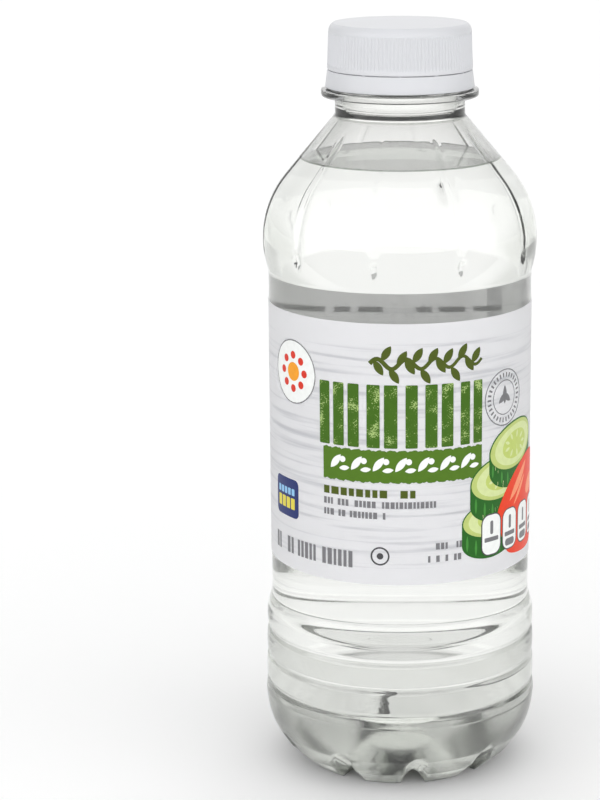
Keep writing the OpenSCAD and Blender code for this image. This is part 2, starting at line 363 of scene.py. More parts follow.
class Outline:
    """The shell's side from the middle of the base to the top of the cone, with what is pressed into it."""

    def __init__(self, s):
        self.s = s
        self.waist_z = s.heel_h + (s.ribs - 1) * s.rib_pitch
        self.panel_z = self.waist_z + s.step_h
        self.panel_top = self.panel_z + s.panel_h
        self.round_x = s.panel_r + s.bulge - s.round_r
        self.round_z = self.panel_top + math.sqrt(s.round_r ** 2 - (s.round_r - s.bulge) ** 2)
        self.cone_r = self.round_x + s.round_r * math.cos(s.cone_angle)
        self.cone_z = self.round_z + s.round_r * math.sin(s.cone_angle)
        self.neck_z = self.cone_z + (self.cone_r - s.neck_r) / math.tan(s.cone_angle)
        self.ring_z = self.neck_z + s.neck_h
        self.points = self.side()
        self.normals = normals(self.points)
        self.flutes = [self.flute(p) for p in self.points]
        self.channels = [self.channel(p) for p in self.points]

    def rib(self, z):
        """Radius of the ribbed stretch: broad ribs with narrow grooves a little under their middles."""
        s = self.s
        share = (z - s.heel_h) / (self.waist_z - s.heel_h)
        off = (z - s.heel_h) % s.rib_pitch - s.rib_pitch * s.groove_place
        groove = 0.75 * math.exp(-(off / s.groove_w) ** 2) + 0.25 * math.exp(-(off / (3 * s.groove_w)) ** 2)
        return s.heel_r + (s.waist_r - s.heel_r) * share - s.groove_depth * groove

    def side(self):
        s = self.s
        base = joined(
            straight((0, s.pushup_h), (s.pushup_r, s.pushup_h), mm(3)),
            straight((s.pushup_r, s.pushup_h), (s.foot_inner_r, 0), mm(1.6)),
            straight((s.foot_inner_r, 0), (s.foot_r, 0), mm(1.6)),
        )
        drop = s.heel_r - s.foot_r
        heel_round = (s.heel_h ** 2 + drop ** 2) / (2 * drop)
        heel_c = (s.heel_r - heel_round, s.heel_h)
        corners = [(s.foot_r, 0)]
        for z in (s.facet_low, s.facet_high):
            corners.append((heel_c[0] + math.sqrt(heel_round ** 2 - (z - s.heel_h) ** 2), z))
        facets = joined(*[straight(a, b, mm(0.7)) for a, b in zip(corners, corners[1:])])
        heel = arc(heel_c, heel_round, math.asin((s.facet_high - s.heel_h) / heel_round), 0, mm(0.9))
        rib_rows = (s.ribs - 1) * 24
        ribbed = [
            (self.rib(z), z)
            for z in (s.heel_h + (self.waist_z - s.heel_h) * k / rib_rows for k in range(rib_rows + 1))
        ]
        stepped = [
            (s.panel_r + (s.waist_r - s.panel_r) * (1 + math.cos(math.pi * k / 12)) / 2,
             self.waist_z + s.step_h * k / 12)
            for k in range(13)
        ]
        panel = straight((s.panel_r, self.panel_z), (s.panel_r, self.panel_top), mm(20))
        dip = -math.acos(1 - s.bulge / s.round_r)
        shoulder = arc((self.round_x, self.round_z), s.round_r, dip, s.cone_angle, mm(0.8))
        cone = straight((self.cone_r, self.cone_z), (s.neck_r, self.neck_z), mm(1.0))
        return joined(base, facets, heel, ribbed, stepped, panel, shoulder, cone[:-1])

    def flute(self, p):
        """Depth and half width of a flute at a point of the side: a drop, then a fading groove."""
        s = self.s
        low = self.panel_top + s.flute_lift
        high = self.neck_z - mm(2.2)
        if not low < p[1] < high:
            return 0, mm(1)
        up = p[1] - low
        t = up / (high - low)
        fade = 1 - max(0, (t - 0.8) / 0.2) ** 2
        # The drop is a half ellipsoid, about twice as deep as the groove above it
        drop = math.sqrt(max(0, 1 - (2 * up / s.drop_h - 1) ** 2))
        above = min(1, max(0, up / s.drop_h - 0.6))
        depth = s.flute_depth * max(2.2 * drop ** 1.4, above * fade)
        half = max(mm(1.25) * drop, above * s.flute_half * (1 - 0.45 * t))
        return depth, max(half, mm(0.15))

    def channel(self, p):
        """Rise and half width of a channel at a point of the side."""
        s = self.s
        if p[1] > s.facet_high + mm(4):
            return 0, mm(1)
        roof = s.channel_h + max(0, p[0] - s.foot_r) * math.tan(s.channel_slope)
        rise = max(0, roof - p[1])
        reach = min(rise, s.channel_r)
        return rise, max(mm(0.2), math.sqrt(2 * s.channel_r * reach - reach ** 2))

    def rows(self, inset, stop=None):
        """The side moved inwards, as rows of radius, height, girth and the two presses."""
        out = []
        for p, n, flute, channel in zip(self.points, self.normals, self.flutes, self.channels):
            x, z = max(0, p[0] - n[0] * inset), p[1] - n[1] * inset
            if stop is not None and z > stop:
                break
            press = (-n[0] * flute[0], 0, -n[1] * flute[0])
            out.append((x, z, p[0], press, flute[1], (0, 0, channel[0]), channel[1]))
        return out


def plain(points):
    """Rows of an outline with nothing pressed into it."""
    return [(x, z, x, (0, 0, 0), mm(1), (0, 0, 0), mm(1)) for x, z in points]


# ---------------------------------------------------------------- geometry trees

def turned_tree():
    """Turns an outline about the axis and presses two repeated patterns into it."""
    tree = geometry_tree("turned_wall", [
        ("Columns", "Int"), ("Crowding", "Float"), ("Sharp angle", "Float"), ("Material", "Material"),
        *[(f"{which} {what}", kind) for which in ("First", "Second")
          for what, kind in (("count", "Int"), ("turn", "Float"), ("power", "Float"))],
    ])
    start = node(tree, "NodeGroupInput").outputs
    maths = functools.partial(sums, tree)
    times, over, plus, less = (
        functools.partial(maths, kind) for kind in ("MULTIPLY", "DIVIDE", "ADD", "SUBTRACT")
    )
    rows = node(
        tree, "GeometryNodeAttributeDomainSize", {"Geometry": start["Geometry"]}, component="MESH"
    ).outputs["Point Count"]
    grid = node(tree, "GeometryNodeMeshGrid", {
        "Size X": 1.0, "Size Y": 1.0,
        "Vertices X": plus(start["Columns"], 1), "Vertices Y": rows,
    }).outputs["Mesh"]
    index = geo(tree, "InputIndex")
    row = maths("MODULO", index, rows)
    column = maths("FLOOR", over(plus(index, 0.5), rows))

    def sampled(data_type, value):
        return geo(tree, "SampleIndex", {
            "Geometry": start["Geometry"], "Value": value, "Index": row,
        }, data_type=data_type, domain="POINT")

    def attribute(name, data_type):
        made = node(tree, "GeometryNodeInputNamedAttribute", {"Name": name}, data_type=data_type)
        return sampled(data_type, made.outputs["Attribute"])

    # Columns crowd together over the pressed places
    even = times(over(column, start["Columns"]), 2 * math.pi)
    waves = plus(start["First count"], start["Second count"])
    ripple = maths("SINE", times(even, waves))
    crowd = times(start["Crowding"], over(ripple, waves))
    crowded = less(even, crowd)
    turn = plus(crowded, start["First turn"])

    place = sampled("FLOAT_VECTOR", geo(tree, "InputPosition"))
    girth = attribute("girth", "FLOAT")
    for which, press, half in (("First", "press_1", "half_1"), ("Second", "press_2", "half_2")):
        sector = over(2 * math.pi, start[which + " count"])
        half_sector = over(sector, 2)
        off = maths("WRAP", less(turn, start[which + " turn"]), half_sector, times(half_sector, -1))
        away = times(maths("ABSOLUTE", off), girth)
        reach = maths("MINIMUM", over(away, attribute(half, "FLOAT")), 1)
        dome = less(1, times(reach, reach))
        moved = node(tree, "ShaderNodeVectorMath", {
            0: attribute(press, "FLOAT_VECTOR"), "Scale": maths("POWER", dome, start[which + " power"]),
        }, operation="SCALE").outputs[0]
        place = aimed(tree, "ADD", place, moved)

    flat = split(tree, place)
    round_place = combined(
        tree, X=times(flat["X"], maths("COSINE", turn)),
        Y=times(flat["X"], maths("SINE", turn)), Z=flat["Z"],
    )
    made = geo(tree, "SetPosition", {"Geometry": grid, "Position": round_place})
    made = geo(tree, "MergeByDistance", {"Geometry": made, "Distance": 1e-6})
    made = geo(tree, "SetShadeSmooth", {"Geometry": made}, domain="FACE")
    edge = node(tree, "GeometryNodeInputMeshEdgeAngle").outputs["Unsigned Angle"]
    made = geo(tree, "SetShadeSmooth", {
        "Geometry": made, "Shade Smooth": maths("LESS_THAN", edge, start["Sharp angle"]),
    }, domain="EDGE")
    return finish_geometry(tree, made, start["Material"])


def wrap_tree():
    """Thickens a flat sheet and wraps it round a cylinder: x is the arc, y the height, z the lift."""
    tree = geometry_tree("wrapped_sheet", [
        ("Radius", "Float"), ("Foot height", "Float"), ("Thickness", "Float"), ("Material", "Material"),
    ])
    start = node(tree, "NodeGroupInput").outputs
    maths = functools.partial(sums, tree)
    times, over, plus = (functools.partial(maths, kind) for kind in ("MULTIPLY", "DIVIDE", "ADD"))
    place = geo(tree, "InputPosition")
    sheet = geo(tree, "StoreNamedAttribute", {
        "Geometry": start["Geometry"], "Name": "flat", "Value": place,
    }, data_type="FLOAT_VECTOR", domain="POINT")
    up = combined(tree, Z=1.0)
    raised = node(tree, "GeometryNodeExtrudeMesh", {
        "Mesh": sheet, "Offset": up, "Offset Scale": start["Thickness"], "Individual": False,
    }, mode="FACES").outputs["Mesh"]
    both = together(tree, raised, geo(tree, "FlipFaces", {"Mesh": sheet}))
    closed = geo(tree, "MergeByDistance", {"Geometry": both, "Distance": 1e-6})
    flat = split(tree, place)
    turn = over(flat["X"], start["Radius"])
    out = plus(start["Radius"], flat["Z"])
    wrapped = combined(
        tree, X=times(out, maths("SINE", turn)),
        Y=times(times(out, maths("COSINE", turn)), -1),
        Z=plus(flat["Y"], start["Foot height"]),
    )
    made = geo(tree, "SetPosition", {"Geometry": closed, "Position": wrapped})
    made = geo(tree, "SetShadeSmooth", {"Geometry": made, "Shade Smooth": False})
    return finish_geometry(tree, made, start["Material"])


def bridged_tree():
    """Adds a ring of small blocks to a piece."""
    tree = geometry_tree("bridged_ring", [
        ("Count", "Int"), ("Radius", "Float"), ("Height", "Float"), ("Block", "Vector"),
        ("Material", "Material"),
    ])
    start = node(tree, "NodeGroupInput").outputs
    points = geo(tree, "MeshCircle", {"Vertices": start["Count"], "Radius": start["Radius"]})
    lift = combined(tree, Z=start["Height"])
    points = geo(tree, "SetPosition", {"Geometry": points, "Offset": lift})
    index = geo(tree, "InputIndex")
    turn = sums(tree, "MULTIPLY", sums(tree, "DIVIDE", index, start["Count"]), 2 * math.pi)
    block = geo(tree, "MeshCube", {"Size": start["Block"]})
    blocks = geo(tree, "InstanceOnPoints", {
        "Points": points, "Instance": block, "Rotation": combined(tree, Z=turn),
    })
    return finish_geometry(tree, together(tree, blocks, start["Geometry"]), start["Material"])


def turned(name, rows, material, columns, crowding=0.0, first=(1, 0.0, 1.0), second=(1, 0.0, 1.0),
           sharp=35):
    """A piece turned from rows of an outline; each pattern is its count, turn and power."""
    obj = new_object(name, [(r[0], 0, r[1]) for r in rows], [(k, k + 1) for k in range(len(rows) - 1)])
    layers = (("girth", "FLOAT", 2), ("press_1", "FLOAT_VECTOR", 3), ("half_1", "FLOAT", 4),
              ("press_2", "FLOAT_VECTOR", 5), ("half_2", "FLOAT", 6))
    for label, kind, place in layers:
        layer = obj.data.attributes.new(label, kind, "POINT")
        for item, row in zip(layer.data, rows):
            if kind == "FLOAT":
                item.value = row[place]
            else:
                item.vector = row[place]
    tree = bpy.data.node_groups.get("turned_wall") or turned_tree()
    values = {
        "Columns": columns, "Crowding": crowding, "Sharp angle": math.radians(sharp), "Material": material,
    }
    for which, pattern in (("First", first), ("Second", second)):
        for what, value in zip(("count", "turn", "power"), pattern):
            values[f"{which} {what}"] = value
    return bake(obj, tree, values)


def pressed(name, rows, material, s):
    """A piece turned from rows, with the flutes and the channels pressed into it."""
    return turned(
        name, rows, material, s.columns, 0.55,
        (s.patterns, s.flute_turn, 1.6), (s.patterns, s.channel_turn, 1.0), 60,
    )


def wrapped(obj, radius, thickness, material):
    """A flat sheet wrapped about the axis, from the label's lower edge up."""
    tree = bpy.data.node_groups.get("wrapped_sheet") or wrap_tree()
    return bake(obj, tree, {
        "Radius": radius, "Foot height": heights("label")[0], "Thickness": thickness, "Material": material,
    })


# ---------------------------------------------------------------- materials

def emptied(owner):
    """The node tree of a material or a world, with nothing in it."""
    owner.use_nodes = True
    owner.node_tree.nodes.clear()
    return owner.node_tree


def new_material(name, flat=False):
    """An empty material, its tree, and the place on the object or on the flat label."""
    material = bpy.data.materials.new(name)
    tree = emptied(material)
    if flat:
        return material, tree, node(tree, "ShaderNodeAttribute", attribute_name="flat").outputs["Vector"]
    return material, tree, node(tree, "ShaderNodeTexCoord").outputs["Object"]


def finish_material(material, shader):
    """Ends a material with its shader."""
    node(material.node_tree, "ShaderNodeOutputMaterial", {"Surface": shader.outputs[0]})
    return material


def principled(material, base, roughness, **more):
    """Ends a material with a principled shader; further inputs are named with underscores for spaces."""
    inputs = {key.replace("_", " "): value for key, value in more.items()}
    inputs.update({"Base Color": base, "Roughness": roughness})
    return finish_material(material, node(material.node_tree, "ShaderNodeBsdfPrincipled", inputs))


def blown_pet():
    """Stretch-blown PET: glass clear with a high gloss and long soft waves from the blowing."""
    material, tree, place = new_material("stretch_blown_pet")
    # Waves about 9 mm long, drawn out along the axis as the parison stretches
    drawn = node(tree, "ShaderNodeMapping", {"Vector": place, "Scale": (110, 110, 40)}).outputs[0]
    waves = bumps(tree, noise(tree, drawn, 1.0, 1.0), 0.25, mm(0.05))
    # The wall is painted greyer where it is seen edge on, as painted shade for its dark edges; the base is
    # tinted greyer up the heel, partly for its thicker PET and partly as painted shade; the thick neck is a
    # little greyer; base and neck are a little hazy
    facing = node(tree, "ShaderNodeLayerWeight", {"Blend": 0.5}).outputs["Facing"]
    up = split(tree, place)["Z"]
    base_full_tint_and_painted_shade_z, base_no_tint_and_painted_shade_z = mm(17), mm(23)
    neck_thin, neck_thick = mm(158), mm(163)
    # Painted shade: the base is greyed up the heel, partly for its thicker PET
    base = ramp(tree, up, base_full_tint_and_painted_shade_z, base_no_tint_and_painted_shade_z, 1.0, 0.0)
    neck = ramp(tree, up, neck_thin, neck_thick, 0.0, 0.4)
    thick = sums(tree, "MAXIMUM", base, neck)
    # Painted shade: the wall is greyed where it is seen edge on
    tint = blend(tree, ramp(tree, facing, 0.3, 0.9), "FCFCFB", "D3D5D2")
    tint = blend(tree, thick, tint, "DEDFDC")
    haze = sums(tree, "MULTIPLY", thick, 0.1)
    return principled(material, tint, haze, IOR=1.575, Transmission_Weight=1.0, Normal=waves)


def clear_vinegar():
    """Spirit vinegar: water clear, with a thin grey-green band of painted shade at its surface."""
    material, tree, place = new_material("spirit_vinegar")
    level = heights("vinegar")[1]
    # Painted shade: the top half millimetre of the drink, its surface and meniscus, is tinted grey-green
    skin = ramp(tree, split(tree, place)["Z"], level - mm(0.5), level - mm(0.42), kind="LINEAR")
    tint = blend(tree, skin, "FEFFFE", "6E766C")
    return principled(material, tint, 0.0, IOR=1.345, Transmission_Weight=1.0)


def moulded_hdpe():
    """Injection-moulded white HDPE: waxy, half gloss, with a fine spark-eroded grain."""
    material, tree, place = new_material("moulded_white_hdpe")
    # Mould grain about 0.25 mm, and flow marks about 12 mm across
    grain = bumps(tree, noise(tree, place, 4000.0, 2.0), 0.25, mm(0.02))
    tone = blend(tree, noise(tree, place, 80.0, 2.0), "D0D1D5", "CBCCCF")
    depth = (mm(1.2),) * 3
    return principled(
        material, tone, 0.42, IOR=1.54, Normal=grain, Subsurface_Weight=0.15, Subsurface_Radius=depth
    )


def printed_film():
    """White OPP film with a varnish: a faint printed wood grain between two plain bands."""
    material, tree, flat = new_material("white_opp_film", True)
    sizes = bpy.context.scene.bottle_label
    up = split(tree, flat)["Y"]
    # Grain lines about 1.1 mm apart and 50 mm long
    drawn = node(tree, "ShaderNodeMapping", {"Vector": flat, "Scale": (22, 900, 1)}).outputs[0]
    lines = ramp(tree, noise(tree, drawn, 1.0, 3.0, Distortion=0.4), 0.52, 0.68, kind="LINEAR")
    foot, top = heights("label")
    below = sums(tree, "LESS_THAN", up, top - foot - sizes.plain_top)
    above = sums(tree, "GREATER_THAN", up, sizes.plain_foot)
    grained = sums(tree, "MULTIPLY", above, below)
    tone = blend(tree, sums(tree, "MULTIPLY", lines, grained), "FCFCFF", "D9DADF")
    face = node(tree, "ShaderNodeBsdfPrincipled", {"Base Color": tone, "Roughness": 0.32, "IOR": 1.5})
    # Daylight comes through the thin film
    through = node(tree, "ShaderNodeBsdfTranslucent", {"Color": linear("FFFFFE")})
    return finish_material(material, node(tree, "ShaderNodeMixShader", {
        0: 0.5, 1: face.outputs[0], 2: through.outputs[0],
    }))


def ink(name, value, fleck=None):
    """Flexographic ink on film: satin, with a faint mottle and, where asked, fine worn flecks."""
    material, tree, flat = new_material(f"{name}_ink", True)
    value = linear(value) if isinstance(value, str) else tuple(value)
    darker = tuple(c * 0.82 for c in value[:3]) + (1.0,)
    # Mottle about 1.5 mm across
    tone = blend(tree, noise(tree, flat, 700.0, 3.0), value, darker)
    if fleck:
        # Flecks about 0.35 mm across, gathered in patches about 4 mm across
        worn = sums(tree, "ADD", noise(tree, flat, 2800.0, 2.0), noise(tree, flat, 260.0, 1.0))
        tone = blend(tree, ramp(tree, worn, 1.12, 1.2, kind="LINEAR"), tone, fleck)
    return principled(material, tone, 0.4, IOR=1.5, Specular_IOR_Level=0.25)


# ---------------------------------------------------------------- print

def placed(points, x, y, turn):
    """Points turned by an angle in degrees and moved to a place."""
    c, s = math.cos(math.radians(turn)), math.sin(math.radians(turn))
    return [(x + px * c - py * s, y + px * s + py * c) for px, py in points]


def around(n):
    """The angles of n places round a circle."""
    return [2 * math.pi * k / n for k in range(n)]


def disc(cx, cy, rx, ry=None, tilt=0.0, n=40):
    """Points of an ellipse in label millimetres; the tilt is in degrees."""
    ry = rx if ry is None else ry
    return placed([(rx * math.cos(a), ry * math.sin(a)) for a in around(n)], cx, cy, tilt)


def box(x0, x1, y0, y1, r=0.0, n=5):
    """Points of a rectangle with round corners, in label millimetres."""
    if r <= 0:
        return [(x0, y0), (x1, y0), (x1, y1), (x0, y1)]
    out = []
    corners = ((x1 - r, y0 + r, -90), (x1 - r, y1 - r, 0), (x0 + r, y1 - r, 90), (x0 + r, y0 + r, 180))
    for cx, cy, first in corners:
        for k in range(n + 1):
            a = math.radians(first + 90 * k / n)
            out.append((cx + r * math.cos(a), cy + r * math.sin(a)))
    return out


def ring(cx, cy, r, w, n=48):
    """A ring as quads, in label millimetres."""
    inner, outer = disc(cx, cy, r - w, n=n), disc(cx, cy, r, n=n)
    return [[inner[k], outer[k], outer[(k + 1) % n], inner[(k + 1) % n]] for k in range(n)]


def ribbon(points, width):
    """A line with a width that may vary along it, as quads."""
    quads, last = [], None
    for k, (x, y) in enumerate(points):
        ax, ay = points[max(k - 1, 0)]
        bx, by = points[min(k + 1, len(points) - 1)]
        size = math.hypot(bx - ax, by - ay)
        w = width(k / (len(points) - 1)) / 2
        nx, ny = -(by - ay) / size * w, (bx - ax) / size * w
        pair = ((x - nx, y - ny), (x + nx, y + ny))
        if last:
            quads.append([last[0], pair[0], pair[1], last[1]])
        last = pair
    return quads


def leaf(x, y, size, width, turn, n=10):
    """A pointed leaf that grows from a place at an angle in degrees."""
    side = [(size * k / n, width / 2 * math.sin(math.pi * k / n) ** 0.8) for k in range(n + 1)]
    points = side + [(px, -py) for px, py in side[-2:0:-1]]
    return placed(points, x, y, turn)


def hull(points):
    """The convex outline round some points."""
    def chain(ordered):
        out = []
        for p in ordered:
            while len(out) > 1 and ((out[-1][0] - out[-2][0]) * (p[1] - out[-2][1])
                                    <= (out[-1][1] - out[-2][1]) * (p[0] - out[-2][0])):
                out.pop()
            out.append(p)
        return out[:-1]
    ordered = sorted(set(points))
    return chain(ordered) + chain(ordered[::-1])


def smooth(points, n=5):
    """A closed smooth line through points, by Catmull-Rom pieces."""
    out = []
    for k in range(len(points)):
        a, b, c, d = (points[(k + j - 1) % len(points)] for j in range(4))
        for i in range(n):
            t = i / n
            out.append(tuple(
                0.5 * (2 * b[m] + (c[m] - a[m]) * t + (2 * a[m] - 5 * b[m] + 4 * c[m] - d[m]) * t * t
                       + (3 * b[m] - a[m] - 3 * c[m] + d[m]) * t ** 3)
                for m in (0, 1)
            ))
    return out


def dashes(x0, x1, y, height, mean, gap, rng):
    """A row of short upright-edged dashes between two places."""
    out, x = [], x0
    while x < x1 - mean * 0.6:
        w = mean * rng.uniform(0.7, 1.3)
        if rng.random() < 0.84:
            out.append(box(x, min(x + w, x1), y - height / 2, y + height / 2))
        x += w + gap
    return out


def printed(name, shapes, layer, tone):
    """One ink as thin raised shapes wrapped on the label; a higher layer lies over a lower one."""
    bm = bmesh.new()
    for shape in shapes:
        bm.faces.new([bm.verts.new((mm(x), mm(y), 0)) for x, y in shape])
    bmesh.ops.remove_doubles(bm, verts=bm.verts, dist=1e-7)
    # Upright cuts let the shapes bend round the panel
    step = mm(1)
    right = max(v.co.x for v in bm.verts)
    cut = math.ceil(min(v.co.x for v in bm.verts) / step) * step
    while cut < right:
        geom = bm.verts[:] + bm.edges[:] + bm.faces[:]
        bmesh.ops.bisect_plane(bm, geom=geom, plane_co=(cut, 0, 0), plane_no=(1, 0, 0), dist=1e-8)
        cut += step
    bmesh.ops.recalc_face_normals(bm, faces=bm.faces)
    for face in bm.faces:
        if face.normal.z < 0:
            face.normal_flip()
    obj = new_object(f"print_{name}", [])
    bm.to_mesh(obj.data)
    bm.free()
    sunk = mm(0.004)
    thickness = bpy.context.scene.bottle_label.ink_t * layer + sunk
    wrapped(obj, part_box("label")[1][0] - sunk, thickness, bpy.data.materials[f"{tone}_ink"])
    hand_over(obj, "label_film")


# ---------------------------------------------------------------- pieces

class BOTTLE_OT_shell(bpy.types.Operator):
    """Builds the blown shell with its flutes, ribs and feet"""
    bl_idname = "bottle.shell"
    bl_label = "Shell"

    def execute(self, context):
        s = context.scene.bottle_shell
        line = Outline(s)
        lip = heights("bottle")[1]
        finish_z = line.ring_z + s.ring_t
        r = mm(0.4)
        neck = joined(
            [(s.neck_r + mm(0.3), line.neck_z - mm(0.36)), (s.neck_r + mm(0.08), line.neck_z - mm(0.05)),
             (s.neck_r, line.neck_z + mm(0.3))],
            straight((s.neck_r, line.neck_z + mm(0.3)), (s.neck_r, line.ring_z - mm(0.2)), mm(1.2)),
            [(s.neck_r + mm(0.2), line.ring_z)],
            [(s.ring_r - r, line.ring_z)],
            arc((s.ring_r - r, line.ring_z + r), r, -math.pi / 2, 0, mm(0.15)),
            arc((s.ring_r - r, finish_z - r), r, 0, math.pi / 2, mm(0.15)),
            [(s.finish_r + mm(0.2), finish_z), (s.finish_r, finish_z + mm(0.2))],
            [(s.finish_r, lip - mm(0.3)), (s.finish_r - mm(0.3), lip)],
            [(s.bore_r + mm(0.3), lip), (s.bore_r, lip - mm(0.3))],
        )
        inner = line.rows(s.wall)
        cone_x, cone_z = inner[-1][0], inner[-1][1]
        bore_z = cone_z + (cone_x - s.bore_r) / math.tan(s.cone_angle)
        run_in = ((0, 6), (0, 2.5), (0.12, 1.0), (0.4, 0.0), (0.98, -1.0), (2.1, -2.5))
        bore = [(s.bore_r + mm(out), bore_z + mm(up)) for out, up in run_in]
        rows = line.rows(0) + plain(neck + bore) + inner[::-1]
        hand_over(pressed("bottle_shell", rows, blown_pet(), s), "pet", "bottle")
        return {"FINISHED"}


class BOTTLE_OT_drink(bpy.types.Operator):
    """Builds the vinegar, which reaches a little into the wall"""
    bl_idname = "bottle.drink"
    bl_label = "Vinegar"

    def execute(self, context):
        s = context.scene.bottle_shell
        level = heights("vinegar")[1]
        line = Outline(s)
        side = line.rows(s.wall - s.into_wall, level)
        edge_x = side[-1][0]
        still = level - s.meniscus
        climb = ((0.35, 0.55), (0.8, 0.25), (1.5, 0.08), (2.6, 0.0), (4.0, 0.0))
        top = [(edge_x - mm(run), still + s.meniscus * share) for run, share in climb]
        top += [(edge_x * 0.5, still), (0, still)]
        fill = pressed("vinegar_fill", side + plain(top), clear_vinegar(), s)
        hand_over(fill, "vinegar", "vinegar")
        return {"FINISHED"}


class BOTTLE_OT_cap(bpy.types.Operator):
    """Builds the screw cap with its fine upright grips"""
    bl_idname = "bottle.cap"
    bl_label = "Cap"

    def execute(self, context):
        c = context.scene.bottle_cap
        s = context.scene.bottle_shell
        low, high = heights("cap")
        bore = s.finish_r + c.clear
        foot_r = c.cap_r + c.draft
        round_z = high - c.edge
        grip_z, grip_top = low + c.grip_margin, round_z
        inside = [(0, high - c.top_t), (bore - mm(0.4), high - c.top_t), (bore, high - c.top_t - mm(0.4)),
                  (bore, low + mm(0.2)), (bore + mm(0.2), low), (foot_r - mm(0.25), low),
                  (foot_r - mm(0.06), low + mm(0.08)), (foot_r, low + mm(0.25))]
        rows = plain(inside)
        steps = 24
        for k in range(steps + 1):
            z = grip_z + (grip_top - grip_z) * k / steps
            share = (z - low) / (round_z - low)
            x = foot_r - c.draft * share
            fade = min(1, k / 1.5, (steps - k) / 1.5)
            pitch = 2 * math.pi * x / c.grips
            rows.append((x, z, x, (-c.grip_depth * fade, 0, 0), pitch / 2, (0, 0, 0), mm(1)))
        # The rounded edge meets the flat top at a crease
        lean = math.radians(58)
        edge_r = c.edge / math.sin(lean)
        rows += plain(arc((c.cap_r - edge_r, round_z), edge_r, math.radians(3), lean, mm(0.3)))
        crease = c.cap_r - edge_r * (1 - math.cos(lean))
        rows += plain([(crease - mm(0.3), high), (mm(8), high), (0, high)])
        obj = turned("screw_cap", rows, moulded_hdpe(), c.grips * 6, 0.0, (c.grips, 0.0, 0.8), sharp=22)
        hand_over(obj, "cap_plastic", "cap")
        return {"FINISHED"}


class BOTTLE_OT_band(bpy.types.Operator):
    """Builds the tamper band and the bridges that join it to the cap"""
    bl_idname = "bottle.band"
    bl_label = "Tamper band"

    def execute(self, context):
        c = context.scene.bottle_cap
        s = context.scene.bottle_shell
        low, skirt = heights("tamper_band")
        high = skirt - c.band_gap
        bore = s.finish_r + c.clear
        top_r = c.cap_r + c.draft
        r = mm(0.25)
        ring_line = joined(
            [(bore, low), (c.band_r - r, low)],
            arc((c.band_r - r, low + r), r, -math.pi / 2, 0, mm(0.12)),
            straight((c.band_r, low + r), (top_r, high - r), mm(1.5)),
            arc((top_r - r, high - r), r, 0, math.pi / 2, mm(0.12)),
            [(bore, high), (bore, low)],
        )
        plastic = bpy.data.materials["moulded_white_hdpe"]
        obj = turned("tamper_band", plain(ring_line), plastic, 240)
        inset, deep, sunk = mm(0.75), mm(0.9), mm(0.15)
        bake(obj, bridged_tree(), {
            "Count": c.bridges, "Radius": top_r - inset, "Height": high + (c.band_gap - sunk) / 2,
            "Block": (deep, c.bridge_w, c.band_gap + sunk), "Material": plastic,
        })
        hand_over(obj, "cap_plastic", "tamper_band")
        return {"FINISHED"}


class BOTTLE_OT_label(bpy.types.Operator):
    """Wraps the label film round the panel, its two ends lapped"""
    bl_idname = "bottle.label"
    bl_label = "Label film"

    def execute(self, context):
        sizes = context.scene.bottle_label
        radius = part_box("label")[1][0]
        foot, top = heights("label")
        whole = 2 * math.pi * radius + sizes.overlap
        slope = mm(3)
        start = sizes.seam - whole
        columns, rows = 300, 3
        verts, faces = [], []
        for i in range(columns + 1):
            run = whole * i / columns
            # The first end lies over the last one and comes down to the panel past it
            lap = max(0.0, min(1.0, (sizes.overlap + slope - run) / slope))
            for j in range(rows + 1):
                verts.append((start + run, (top - foot) * j / rows, -sizes.film_t + lap * sizes.film_t * 0.9))
        for i in range(columns):
            for j in range(rows):
                a = i * (rows + 1) + j
                faces.append((a, a + rows + 1, a + rows + 2, a + 1))
        film = new_object("label_film", verts, faces=faces)
        hand_over(wrapped(film, radius, sizes.film_t, printed_film()), "label_film", "label")
        return {"FINISHED"}


